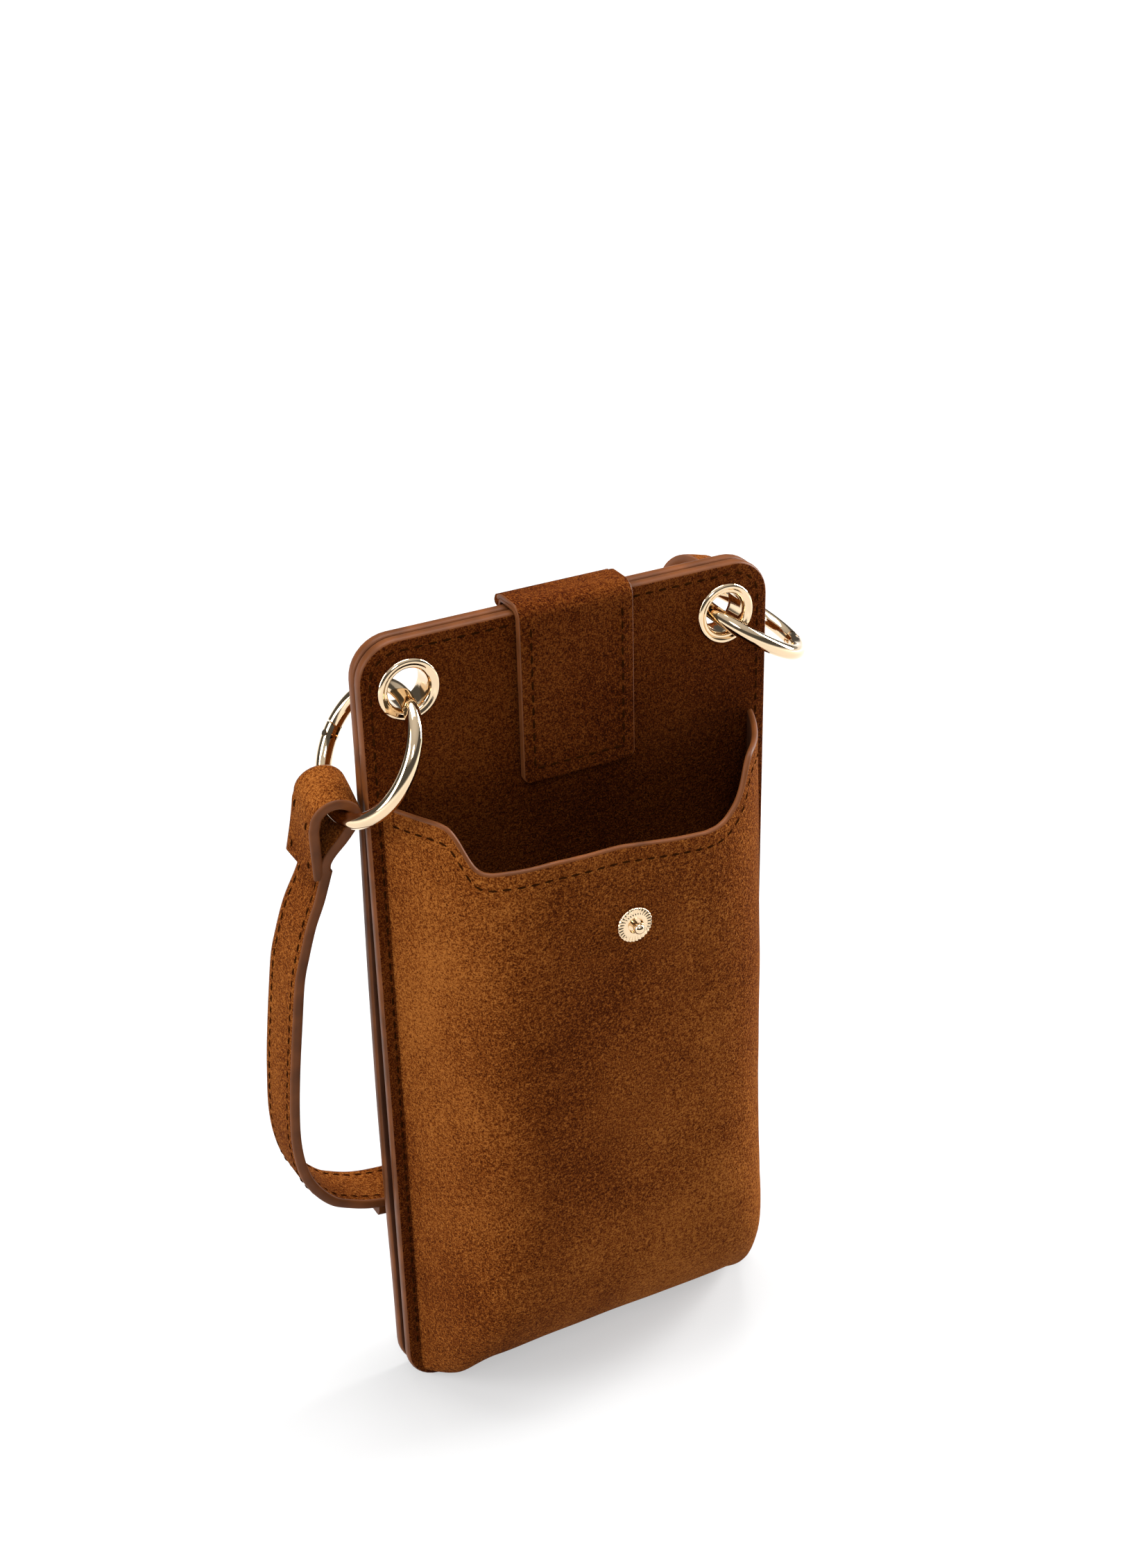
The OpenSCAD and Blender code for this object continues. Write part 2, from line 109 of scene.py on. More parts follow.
camera()

# ---------------------------------------------------------------- materials


class Nodes:
    def __init__(self, name):
        self.mat = bpy.data.materials.new(name)
        self.mat.use_nodes = True
        self.t = self.mat.node_tree
        self.t.nodes.clear()
        self.out = self.t.nodes.new("ShaderNodeOutputMaterial")
        self.bsdf = self.t.nodes.new("ShaderNodeBsdfPrincipled")
        self.t.links.new(self.bsdf.outputs[0], self.out.inputs[0])

    def add(self, kind, **values):
        n = self.t.nodes.new(kind)
        for k, v in values.items():
            if k in n.inputs:
                n.inputs[k].default_value = v
            else:
                setattr(n, k, v)
        return n

    def link(self, a, b):
        self.t.links.new(a, b)

    def noise(self, coord, scale, detail=2.0, rough=0.5):
        n = self.add("ShaderNodeTexNoise")
        n.inputs["Scale"].default_value = scale
        n.inputs["Detail"].default_value = detail
        n.inputs["Roughness"].default_value = rough
        self.link(coord, n.inputs["Vector"])
        return n.outputs["Fac"]

    def ramp(self, fac, stops):
        n = self.add("ShaderNodeValToRGB")
        cr = n.color_ramp
        while len(cr.elements) < len(stops):
            cr.elements.new(0.5)
        for e, (p, c) in zip(cr.elements, stops):
            e.position = p
            e.color = (*c, 1) if len(c) == 3 else c
        self.link(fac, n.inputs[0])
        return n.outputs[0]

    def maths(self, op, a, b):
        n = self.add("ShaderNodeMath", operation=op)
        for i, v in enumerate((a, b)):
            if isinstance(v, (int, float)):
                n.inputs[i].default_value = v
            else:
                self.link(v, n.inputs[i])
        return n.outputs[0]

    def bump(self, height, strength, distance):
        n = self.add("ShaderNodeBump")
        n.inputs["Strength"].default_value = strength
        n.inputs["Distance"].default_value = distance
        self.link(height, n.inputs["Height"])
        self.link(n.outputs[0], self.bsdf.inputs["Normal"])


def suede(name, dark, mid, light, swing=1.0):
    """Napped suede: fine clumps of nap, brushed patches lying lighter or darker, soft sheen."""
    n = Nodes(name)
    co = n.add("ShaderNodeTexCoord").outputs["Object"]
    fine = n.noise(co, 3000, 2.0, 0.6)
    clump = n.noise(co, 1350, 2.0, 0.6)
    patch = n.noise(co, 46, 3.0, 0.55)
    stretch = n.add("ShaderNodeMapping")
    stretch.inputs["Scale"].default_value = (1, 1, 0.45)
    n.link(co, stretch.inputs["Vector"])
    wide = n.noise(stretch.outputs[0], 26, 2.0, 0.5)
    f = 0.5
    shares = ((fine, 1.9), (clump, 1.0), (patch, 0.5 * swing), (wide, 0.75 * swing))
    for source, weight in shares:
        f = n.maths("ADD", n.maths("MULTIPLY", n.maths("SUBTRACT", source, 0.5), weight), f)
    col = n.ramp(f, [(0.14, dark), (0.5, mid), (0.86, light)])
    n.link(col, n.bsdf.inputs["Base Color"])
    n.bsdf.inputs["Roughness"].default_value = 0.95
    n.bsdf.inputs["Specular IOR Level"].default_value = 0.02
    n.bsdf.inputs["Sheen Weight"].default_value = 0.02
    n.bsdf.inputs["Sheen Roughness"].default_value = 0.5
    n.bsdf.inputs["Sheen Tint"].default_value = (0.8, 0.42, 0.16, 1)
    h = n.maths("ADD", n.maths("MULTIPLY", fine, 0.6), n.maths("MULTIPLY", clump, 0.8))
    n.bump(h, 0.8, 0.0009)
    return n.mat


def paint(name, colour, rough=0.45, shine=0.14):
    n = Nodes(name)
    co = n.add("ShaderNodeTexCoord").outputs["Object"]
    soft = n.noise(co, 160, 2.0, 0.5)
    c0 = tuple(0.72 * v for v in colour)
    c1 = tuple(1.25 * v for v in colour)
    n.link(n.ramp(soft, [(0.3, c0), (0.7, c1)]), n.bsdf.inputs["Base Color"])
    n.bsdf.inputs["Roughness"].default_value = rough
    n.bsdf.inputs["Specular IOR Level"].default_value = shine
    n.bump(soft, 0.12, 0.0006)
    return n.mat


def metal(name, colour, rough):
    n = Nodes(name)
    n.bsdf.inputs["Base Color"].default_value = (*colour, 1)
    n.bsdf.inputs["Metallic"].default_value = 1.0
    n.bsdf.inputs["Roughness"].default_value = rough
    return n.mat


SUEDE = suede("suede", (0.041, 0.0067, 0.0006), (0.142, 0.0350, 0.0046), (0.290, 0.097, 0.0180))
SUEDE_DEEP = suede("suede_deep", (0.018, 0.0022, 0.0002), (0.068, 0.0125, 0.0012),
                   (0.150, 0.042, 0.0065), 0.8)
EDGE = paint("edge_paint", (0.112, 0.034, 0.0085), 0.46)
EDGE_DARK = paint("edge_dark", (0.05, 0.015, 0.006), 0.55)
LINING = paint("lining", (0.060, 0.018, 0.006), 0.7)
THREAD = paint("thread", (0.020, 0.0055, 0.0010), 0.9, 0.0)
# painted shade: a dark colour for the leaf margin under the pocket, standing in for its shadow
PAINTED_SHADE = paint("painted_margin_shade", (0.030, 0.0075, 0.0015), 0.9, 0.0)
GOLD = metal("gold", (0.76, 0.58, 0.38), 0.06)

# ---------------------------------------------------------------- mesh helpers


def new_object(name, verts, faces, mats, face_mats=None, sharp=40.0, weld=True):
    me = bpy.data.meshes.new(name)
    me.from_pydata([tuple(c * MM for c in v) for v in verts], [], faces)
    for m in mats:
        me.materials.append(m)
    if face_mats is not None:
        for p, k in zip(me.polygons, face_mats):
            p.material_index = k
    bm = bmesh.new()
    bm.from_mesh(me)
    if weld:
        bmesh.ops.remove_doubles(bm, verts=bm.verts, dist=1e-6)
    bmesh.ops.recalc_face_normals(bm, faces=bm.faces)
    for f in bm.faces:
        f.smooth = True
    for e in bm.edges:
        if len(e.link_faces) == 2 and e.calc_face_angle(0) > math.radians(sharp):
            e.smooth = False
    bm.to_mesh(me)
    bm.free()
    ob = bpy.data.objects.new(name, me)
    bpy.context.scene.collection.objects.link(ob)
    return ob


def dress(ob, body, slot, *nodes):
    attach(ob, body)
    if nodes:
        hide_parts(*nodes)
    return ob


def lookup(v, table):
    return float(np.interp(v, [t[0] for t in table], [t[1] for t in table]))


def smooth_bow(z):
    s = 0.0
    for d in (-6, -3, 0, 3, 6):
        s += lookup(min(max((z + d) / H, 0), 1), BOW)
    return BACK + GAP + BOW_BY * s / 5


def bow(z):
    return BACK + GAP + BOW_BY * lookup(z / H, BOW)


def eased(points, steps):
    p = [np.array(q, float) for q in points]
    out = []
    for i in range(len(p) - 1):
        a, b, c, d = p[max(i - 1, 0)], p[i], p[i + 1], p[min(i + 2, len(p) - 1)]
        for k in range(steps):
            t = k / steps
            out.append(0.5 * (2 * b + (c - a) * t + (2 * a - 5 * b + 4 * c - d) * t * t
                              + (3 * b - a - 3 * c + d) * t ** 3))
    out.append(p[-1])
    return out


def unit(v):
    return v / np.linalg.norm(v)


def spaced(points, pitch):
    """Points every pitch along a polyline, with the direction there."""
    p = np.array(points, float)
    seg = np.linalg.norm(np.diff(p, axis=0), axis=1)
    s = np.concatenate([[0], np.cumsum(seg)])
    n = max(1, int(round(s[-1] / pitch)))
    out = []
    for k in range(n):
        a = (k + 0.5) * s[-1] / n
        i = min(int(np.searchsorted(s, a)) - 1, len(seg) - 1)
        i = max(i, 0)
        t = (a - s[i]) / max(seg[i], 1e-9)
        out.append((p[i] + (p[i + 1] - p[i]) * t, unit(p[i + 1] - p[i]), s[-1] / n))
    return out


class Thread:
    """Stitches gathered into one mesh: short rounded dashes pressed into the leather."""

    def __init__(self):
        self.v, self.f = [], []

    def dash(self, c, along, normal, length, r=0.27):
        along, normal = unit(np.array(along, float)), unit(np.array(normal, float))
        side = np.cross(normal, along)
        base = len(self.v)
        stations = [(-0.5, 0.3, -0.26), (-0.36, 0.85, -0.08), (0, 1, 0), (0.36, 0.85, -0.08),
                    (0.5, 0.3, -0.26)]
        for u, k, lift in stations:
            for j in range(6):
                a = math.pi * j / 3
                self.v.append(c + along * u * length + side * r * k * math.cos(a)
                              + normal * (r * 0.8 * k * math.sin(a) + lift))
        n = len(stations)
        for i in range(n - 1):
            for j in range(6):
                a, b = base + i * 6 + j, base + i * 6 + (j + 1) % 6
                self.f.append((a, b, b + 6, a + 6))
        self.f.append(tuple(base + j for j in range(6)))
        self.f.append(tuple(base + (n - 1) * 6 + j for j in range(6)))

    def run(self, points, normals, fill=0.74):
        """normals: one vector, or a function of the place."""
        for c, along, step in spaced(points, STITCH):
            nrm = normals(c) if callable(normals) else np.array(normals, float)
            self.dash(c, along, nrm, step * fill)

    def make(self, name, body, slot="lining"):
        ob = new_object(name, self.v, self.f, [THREAD], sharp=80, weld=False)
        return dress(ob, body, slot)


def rounded_rows(w, h, r, inset, arc=9, straight=44):
    rows = []
    for k in range(arc + 1):
        a = math.pi / 2 * k / arc
        rows.append((r - (r - inset) * math.cos(a), w / 2 - r + (r - inset) * math.sin(a)))
    for k in range(1, straight):
        rows.append((r + (h - 2 * r) * k / straight, w / 2 - inset))
    for k in range(arc + 1):
        a = math.pi / 2 * k / arc
        rows.append((h - r + (r - inset) * math.sin(a), w / 2 - r + (r - inset) * math.cos(a)))
    return rows


def slab(name, w, h, r, prof, mats, shift=lambda z: 0.0, cols=24):
    """Rounded plate. prof: (inset, y, material of the band that follows), front to back."""
    verts, faces, fm = [], [], []

    def grid(inset, y, mat, full):
        rows = rounded_rows(w, h, r, inset)
        idx = {}
        n = len(rows)
        for i, (z, hw) in enumerate(rows):
            for j in range(cols + 1):
                if not full and 0 < i < n - 1 and 0 < j < cols:
                    continue
                idx[i, j] = len(verts)
                verts.append((hw * (2 * j / cols - 1), y + shift(z), z))
        if full:
            for i in range(n - 1):
                for j in range(cols):
                    faces.append((idx[i, j], idx[i, j + 1], idx[i + 1, j + 1], idx[i + 1, j]))
                    fm.append(mat)
        loop = [idx[0, j] for j in range(cols + 1)] + [idx[i, cols] for i in range(1, n - 1)]
        loop += [idx[n - 1, j] for j in range(cols, -1, -1)]
        loop += [idx[i, 0] for i in range(n - 2, 0, -1)]
        return loop

    prev = None
    for k, (inset, y, mat) in enumerate(prof):
        loop = grid(inset, y, mat, k in (0, len(prof) - 1))
        if prev:
            m = prof[k - 1][2]
            for a in range(len(loop)):
                b = (a + 1) % len(loop)
                faces.append((prev[a], prev[b], loop[b], loop[a]))
                fm.append(m)
        prev = loop
    return new_object(name, verts, faces, mats, fm, sharp=60)


def bore(ob, cutters):
    """Cuts round holes along Y: (x, z, radius)."""
    for x, z, rad in cutters:
        v, f = [], []
        n = 64
        for y in (-40, 40):
            for j in range(n):
                a = 2 * math.pi * j / n
                v.append((x + rad * math.cos(a), y, z + rad * math.sin(a)))
        for j in range(n):
            f.append((j, (j + 1) % n, n + (j + 1) % n, n + j))
        f.append(tuple(range(n)))
        f.append(tuple(range(n, 2 * n)))
        c = new_object("cutter", v, f, [EDGE_DARK], sharp=40)
        mod = ob.modifiers.new("bore", "BOOLEAN")
        mod.operation, mod.object, mod.solver = "DIFFERENCE", c, "EXACT"
        dg = bpy.context.evaluated_depsgraph_get()
        me = bpy.data.meshes.new_from_object(ob.evaluated_get(dg))
        ob.modifiers.clear()
        ob.data = me
        bpy.data.objects.remove(c)
    return ob


def lathe(name, profile, mat, steps=96, sharp=50):
    """profile: (radius, height) closed; turned about the local axis, heights along -Y."""
    v, f = [], []
    n = len(profile)
    for k in range(steps):
        a = 2 * math.pi * k / steps
        for r, h in profile:
            v.append((r * math.cos(a), -h, r * math.sin(a)))
    for k in range(steps):
        for j in range(n):
            a, b = k * n + j, k * n + (j + 1) % n
            c, d = ((k + 1) % steps) * n + (j + 1) % n, ((k + 1) % steps) * n + j
            f.append((a, b, c, d))
    return new_object(name, v, f, [mat], sharp=sharp)


def moved(ob, x, y, z, turn=0.0):
    ob.data.transform(Matrix.Translation(Vector((x, y, z)) * MM) @ Matrix.Rotation(turn, 4, "Z"))
    return ob


def section(w, t, edge_mat=1, face_mat=0, bulge=0.0):
    """Rounded rectangle, width along the first axis: points and the material of each side."""
    h, e = w / 2, t / 2
    pts, mats = [], []
    nf = 10
    for k in range(nf + 1):
        u = -h + e * 0.55 + (w - e * 1.1) * k / nf
        pts.append((u, e + bulge * (1 - (u / h) ** 2)))
        mats.append(face_mat)
    mats[-1] = edge_mat
    for a in (60, 35, 0, -35, -60):
        c, s = math.cos(math.radians(a)), math.sin(math.radians(a))
        pts.append((h - e * 0.35 + e * 0.35 * c, 0.93 * e * s / math.sin(math.radians(60))))
        mats.append(edge_mat)
    pts2 = [(-u, -v) for u, v in pts]
    return pts + pts2, mats + mats


def sweep(name, path, widths, w, t, mats, scale=None, bulge=0.0):
    """A band along path; widths gives the direction of its width at each point."""
    sec, sm = section(w, t, bulge=bulge)
    m, n = len(sec), len(path)
    verts, faces, fm = [], [], []
    frames = []
    for i in range(n):
        tan = unit(path[min(i + 1, n - 1)] - path[max(i - 1, 0)])
        u = np.array(widths[i], float)
        u = unit(u - tan * np.dot(u, tan))
        v = np.cross(tan, u)
        frames.append((tan, u, v))
        k = scale[i] if scale else 1.0
        for a, b in sec:
            p = path[i] + u * a * k + v * b
            verts.append(p)
    for i in range(n - 1):
        for j in range(m):
            a, b = i * m + j, i * m + (j + 1) % m
            faces.append((a, b, b + m, a + m))
            fm.append(sm[j])
    for i, tan_sign in ((0, -1), (n - 1, 1)):
        ring = [i * m + j for j in range(m)]
        c = len(verts)
        verts.append(path[i] + frames[i][0] * tan_sign * 0.15)
        for j in range(m):
            faces.append((ring[j], ring[(j + 1) % m], c))
            fm.append(1)
    ob = new_object(name, verts, faces, mats, fm, sharp=62)
    return ob, frames


def rumple(ob, amount, scale, seed=0.0):
    for v in ob.data.vertices:
        n = noise.noise_vector(Vector((v.co.x * scale + seed, v.co.y * scale, v.co.z * scale)))
        v.co += n * amount * MM


# ---------------------------------------------------------------- leaves
front_prof = [(0.62, FRONT, 0), (0.42, FRONT + 0.05, 1), (0.15, FRONT + 0.3, 1),
              (0.0, FRONT + 0.8, 1), (0.0, BACK - 0.8, 1), (0.15, BACK - 0.25, 1),
              (0.45, BACK, 2), (0.9, BACK, 2)]
front_leaf = slab("front_leaf", W, H, CORNER, front_prof, [SUEDE_DEEP, EDGE, LINING, PAINTED_SHADE])
# painted shade: the leaf's narrow margin below the pocket is given a dark colour that stands in for
# the shadow under the pocket's bottom edge
for face in front_leaf.data.polygons:
    x, y, z = face.center
    if face.material_index in (0, 1) and y < 0 and z < SHADE_TOP * MM and abs(x) < SHADE_HALF * MM:
        face.material_index = 3
bore(front_leaf, [(s * EYE_X, EYE_Z, EYE_HOLE + EYE_WALL) for s in (-1, 1)])
dress(front_leaf, "wallet", "suede", "front_leaf_skin", "front_leaf_core")

rear_prof = [(0.9, 0.0, 2), (0.45, 0.0, 1), (0.15, 0.25, 1), (0.0, 0.8, 1), (0.0, LEAF - 0.8, 1),
             (0.15, LEAF - 0.3, 1), (0.42, LEAF - 0.05, 0), (0.62, LEAF, 0)]
rear_leaf = slab("rear_leaf", W, H, CORNER, rear_prof, [SUEDE, EDGE, LINING], shift=smooth_bow)
bore(rear_leaf, [(s * EYE_X, EYE_Z, EYE_HOLE + EYE_WALL) for s in (-1, 1)])
dress(rear_leaf, "wallet", "suede", "rear_leaf_skin", "rear_leaf_core")


def strip_between(name, x0, x1, z0, z1, y0, y1, mat, node, slot):
    v = [(x, y, z) for x in (x0, x1) for y in (y0, y1) for z in (z0, z1)]
    f = [(0, 1, 3, 2), (4, 6, 7, 5), (0, 4, 5, 1), (2, 3, 7, 6), (0, 2, 6, 4), (1, 5, 7, 3)]
    ob = new_object(name, v, f, [mat])
    b = ob.modifiers.new("bevel", "BEVEL")
    b.width, b.segments = 0.2 * MM, 3
    return dress(ob, "wallet", slot, node)


strip_between("spine_strip", W / 2, W / 2 + 0.6, 20.5, 164, 0.1, 4.7, EDGE, "spine", "lining")

for i in range(SLOTS):
    top = SLOT_TOP - SLOT_STEP * i
    v, f, n = [], [], 40
    for k in range(n + 1):
        z = SLOT_FOOT + (top - SLOT_FOOT) * k / n
        for x in (-SLOT_HALF, SLOT_HALF):
            for d in ((i + 1) * SLOT_T, i * SLOT_T):
                v.append((x, bow(z) - d, z))
    for k in range(n):
        a, b = 4 * k, 4 * k + 4
        f += [(a, a + 2, b + 2, b), (a + 1, b + 1, b + 3, a + 3), (a, b, b + 1, a + 1),
              (a + 2, a + 3, b + 3, b + 2)]
    f += [(0, 1, 3, 2), (4 * n, 4 * n + 2, 4 * n + 3, 4 * n + 1)]
    sheet = new_object(f"card_slot_sheet_{i + 1}", v, f, [LINING if i % 2 else SUEDE_DEEP])
    dress(sheet, "wallet", "lining", f"card_slot_{i + 1}")

# stitching round both leaves
sew = Thread()
rows = rounded_rows(W, H, CORNER, LEAF_SEW, arc=8, straight=60)
foot_half, top_z = rows[0][1], rows[-1][0]
left = [(-hw, FRONT, z) for z, hw in rows]
right = [(hw, FRONT, z) for z, hw in rows]
sew.run(left[9:], (0, -1, 0))
sew.run(right[9:], (0, -1, 0))
sew.run([left[-1], (-BESIDE_TAB, FRONT, top_z)], (0, -1, 0))
sew.run([(BESIDE_TAB, FRONT, top_z), right[-1]], (0, -1, 0))
for s in (-1, 1):
    sew.run([(s * hw, smooth_bow(z) + LEAF, z) for z, hw in rows], (0, 1, 0))
foot_y = smooth_bow(LEAF_SEW) + LEAF
sew.run([(-foot_half, foot_y, LEAF_SEW), (foot_half, foot_y, LEAF_SEW)], (0, 1, 0))
for s in (-1, 1):
    ends = [(s * foot_half, REAR_OUT, H - LEAF_SEW), (s * BESIDE_TAB, REAR_OUT, H - LEAF_SEW)]
    sew.run(ends, (0, 1, 0))
sew.make("leaf_stitching", "wallet")

# ---------------------------------------------------------------- pocket
# how square the pocket's section is at each height
DEPTH_P = [(0, 14), (12, 13), (20, 10.5), (40, 7.4), (60, 6.3), (100, 5.65), (120, 5.2),
           (141, 4.7), (152, 4.5)]


def pocket_depth(z):
    g = min(max((z - SEAM) / 47.3, 0), 1)
    d = POCKET_D * (1 - (1 - g) ** 3)
    return d - 0.6 * min(max((z - 126) / 20, 0), 1) ** 2


def pocket_half(z):
    r = 2.2
    if z < SEAM + r:
        return POCKET_A - r + math.sqrt(max(r * r - (SEAM + r - z) ** 2, 0))
    return POCKET_A


def soft_step(t):
    t = min(max(t, 0.0), 1.0)
    return t * t * (3 - 2 * t)


def corner_puff(x, z):
    """The leather is gathered at both bottom corners and turned under along the bottom."""
    edge = 1 - min(abs(x) / POCKET_A, 1) ** 16
    turn = 0.9 * (1 - math.exp(-(z - SEAM) / 0.25)) * math.exp(-((z - SEAM) / 22) ** 2)
    rise = (1 - math.exp(-(z - SEAM) / 0.7)) * math.exp(-((z - SEAM) / 9) ** 2)
    side = 3.4 if x < 0 else 2.6
    return edge * (turn + side * soft_step((abs(x) - 30) / 8) * rise)


def outline(z, cols):
    """Points across the pocket at height z, evenly spaced along the leather."""
    p, d, a = lookup(z, DEPTH_P), pocket_depth(z), pocket_half(z)
    t = np.linspace(0, 1, 1200)
    x = a * (1 - (1 - t) ** 2.5)
    y = d * (1 - np.power(x / a, p))
    s = np.concatenate([[0], np.cumsum(np.hypot(np.diff(x), np.diff(y)))])
    q = np.linspace(0, s[-1], cols // 2 + 1)
    xs, ys = np.interp(q, s, x), np.interp(q, s, y)
    xs = np.concatenate([-xs[:0:-1], xs])
    ys = np.concatenate([ys[:0:-1], ys])
    return xs, -ys


def rim_height(x):
    return sum(lookup(x + d, RIM_LINE) for d in (-0.8, -0.4, 0, 0.4, 0.8)) / 5


COLS, ROWS = 200, 130
levels = np.concatenate([SEAM + 12 * np.linspace(0, 1, 14) ** 1.4, np.linspace(16, 156, 60)])
table = [outline(z, COLS) for z in levels]
TX = np.array([t[0] for t in table])
TY = np.array([t[1] for t in table])


def at(j, z):
    return float(np.interp(z, levels, TX[:, j])), float(np.interp(z, levels, TY[:, j]))


grid = np.zeros((ROWS + 1, COLS + 1, 3))
for j in range(COLS + 1):
    top = 142.0
    for _ in range(40):
        top = 0.7 * top + 0.3 * rim_height(at(j, top)[0])
    for i in range(ROWS + 1):
        v = i / ROWS
        z = SEAM + (top - SEAM) * (0.55 * v + 0.45 * v * v)
        x, y = at(j, z)
        y -= corner_puff(x, z)
        k = min(1.0, -y / 6)  # the swells fade to nothing where the pocket meets the leaf
        swell = sum(noise.noise(Vector((x * fx, py, z * fz))) * by for fx, py, fz, by in SWELLS)
        grid[i, j] = (x, FRONT + y - k * swell, z)
du = np.zeros_like(grid)
dv = np.zeros_like(grid)
du[:, 1:-1] = grid[:, 2:] - grid[:, :-2]
du[:, 0], du[:, -1] = grid[:, 1] - grid[:, 0], grid[:, -1] - grid[:, -2]
dv[1:-1] = grid[2:] - grid[:-2]
dv[0], dv[-1] = grid[1] - grid[0], grid[-1] - grid[-2]
nrm = np.cross(du, dv)
nrm /= np.maximum(np.linalg.norm(nrm, axis=2, keepdims=True), 1e-9)
if nrm[ROWS // 2, COLS // 2, 1] > 0:
    nrm = -nrm
inner = grid - nrm * POCKET_T
inner[:, :, 1] = np.minimum(inner[:, :, 1], FRONT)
inner[:, :, 2] = np.maximum(inner[:, :, 2], SEAM)
verts, faces, fm = [], [], []
stride = COLS + 1
for g in (grid, inner):
    verts += [tuple(p) for p in g.reshape(-1, 3)]
off = (ROWS + 1) * stride
for i in range(ROWS):
    for j in range(COLS):
        a = i * stride + j
        q = (a, a + 1, a + stride + 1, a + stride)
        faces += [q, tuple(off + v for v in reversed(q))]
        fm += [0, 2]
# rounded painted rim
rim_loops = [[ROWS * stride + j for j in range(stride)]]
for a in (30, 60, 90, 120, 150):
    loop = []
    for j in range(stride):
        o, n_ = grid[ROWS, j], inner[ROWS, j]
        mid, half = (o + n_) / 2, (o - n_) / 2
        across = unit(half) if np.linalg.norm(half) > 1e-6 else np.array([0, -1.0, 0])
        rise = unit(np.cross(unit(du[ROWS, j]), across))
        if rise[2] < 0:
            rise = -rise
        loop.append(len(verts))
        turn = math.radians(a)
        verts.append(tuple(mid + half * math.cos(turn) + rise * 0.55 * math.sin(turn)))
    rim_loops.append(loop)
rim_loops.append([off + ROWS * stride + j for j in range(stride)])
for a, b in zip(rim_loops, rim_loops[1:]):
    for j in range(COLS):
        faces.append((a[j], a[j + 1], b[j + 1], b[j]))
        fm.append(1)
pocket = new_object("pocket_panel", verts, faces, [SUEDE, EDGE, LINING], fm, sharp=70)
dress(pocket, "wallet", "suede", "pocket")

rim_sew = Thread()
line, line_n = [], []
for j in range(4, COLS - 3):
    d = 0.0
    i = ROWS
    while d < 3.0 and i > 0:
        d += np.linalg.norm(grid[i, j] - grid[i - 1, j])
        i -= 1
    line.append(grid[i, j])
    line_n.append(nrm[i, j])
ln = np.array(line)
lnn = np.array(line_n)
rim_sew.run(line, lambda c: lnn[np.argmin(np.linalg.norm(ln - c, axis=1))])
rim_sew.make("pocket_stitching", "wallet")

# ---------------------------------------------------------------- press stud
face_y = FRONT - POCKET_D
v, f = [], []
prof = [(1.45, 0.35), (1.75, 0.95), (2.2, 1.05), (2.65, 0.75), (3.0, 0.62), (3.7, 0.72),
        (3.95, 0.5), (4.0, 0.0)]
steps = RIBS * 6
for k in range(steps):
    a = 2 * math.pi * k / steps
    w = 0.5 + 0.5 * math.cos(a * RIBS)
    for r, h in prof:
        hh = h + (RIB_HEIGHT * w if 2.7 < r < 3.99 else 0)
        v.append((r * math.cos(a), -hh, r * math.sin(a)))
n = len(prof)
for k in range(steps):
    for j in range(n - 1):
        a, b = k * n + j, ((k + 1) % steps) * n + j
        f.append((a, b, b + 1, a + 1))
c = len(v)
v.append((0, -0.3, 0))
for k in range(steps):
    f.append((k * n, ((k + 1) % steps) * n, c))
disc = moved(new_object("stud_ribbed_disc", v, f, [GOLD], sharp=50), 0, face_y, STUD_Z)
dress(disc, "wallet", "gold", "stud_disc")


def refined(node, body, mat, slot="gold"):
    """A smooth-shaded copy of a hard CAD piece."""
    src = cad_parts[node]
    me = src.data.copy()
    me.materials.clear()
    me.materials.append(mat)
    bm = bmesh.new()
    bm.from_mesh(me)
    bmesh.ops.remove_doubles(bm, verts=bm.verts, dist=2e-6)
    for fc in bm.faces:
        fc.smooth = True
        fc.material_index = 0
    for e in bm.edges:
        if len(e.link_faces) == 2 and e.calc_face_angle(0) > math.radians(30):
            e.smooth = False
    bm.to_mesh(me)
    bm.free()
    if "custom_normal" in me.attributes:
        me.attributes.remove(me.attributes["custom_normal"])
    ob = bpy.data.objects.new(node + "_polished", me)
    bpy.context.scene.collection.objects.link(ob)
    return dress(ob, body, slot, node)


for node, body in (("stud_post", "wallet"), ("stud_back", "wallet"), ("tab_socket", "tab"),
                   ("ring_left", "handle"), ("ring_right", "handle"), ("rivet_left", "handle"),
                   ("rivet_right", "handle"), ("gate_left", "gate_left"),
                   ("gate_right", "gate_right")):
    refined(node, body, GOLD)

# ---------------------------------------------------------------- eyelets
hr, er = EYE_HOLE, EYE_R
lip = [(hr + EYE_WALL, -0.9), (hr, -0.9), (hr + 0.03, -0.3), (hr + 0.14, 0.1), (hr + 0.36, 0.46),
       (hr + 0.62, 0.62), (hr + 0.82, 0.56), (hr + 0.98, 0.62), (hr + 1.3, 0.86),
       (hr + 1.62, 0.95), (hr + 1.95, 0.84), (er - 0.16, 0.55), (er, 0.22), (er, 0.0),
       (hr + EYE_WALL, 0.0)]
tube = [(hr, 0), (hr + EYE_WALL, 0), (hr + EYE_WALL, 3.8), (hr, 3.8)]
for s, side in ((-1, "left"), (1, "right")):
    e = lathe(f"eyelet_{side}_lip", lip, GOLD)
    moved(e, s * EYE_X, FRONT, EYE_Z)
    dress(e, "wallet", "gold", f"eyelet_{side}")
    barrel = lathe(f"eyelet_{side}_barrel", tube, GOLD)
    moved(barrel, s * EYE_X, REAR_OUT - 0.9, EYE_Z)
    dress(barrel, "wallet", "gold")
    wsh = lathe(f"eyelet_{side}_rear_lip", lip, GOLD)
    moved(wsh, s * EYE_X, REAR_OUT, EYE_Z, math.pi)
    dress(wsh, "wallet", "gold", f"eyelet_washer_{side}")

# ---------------------------------------------------------------- tab


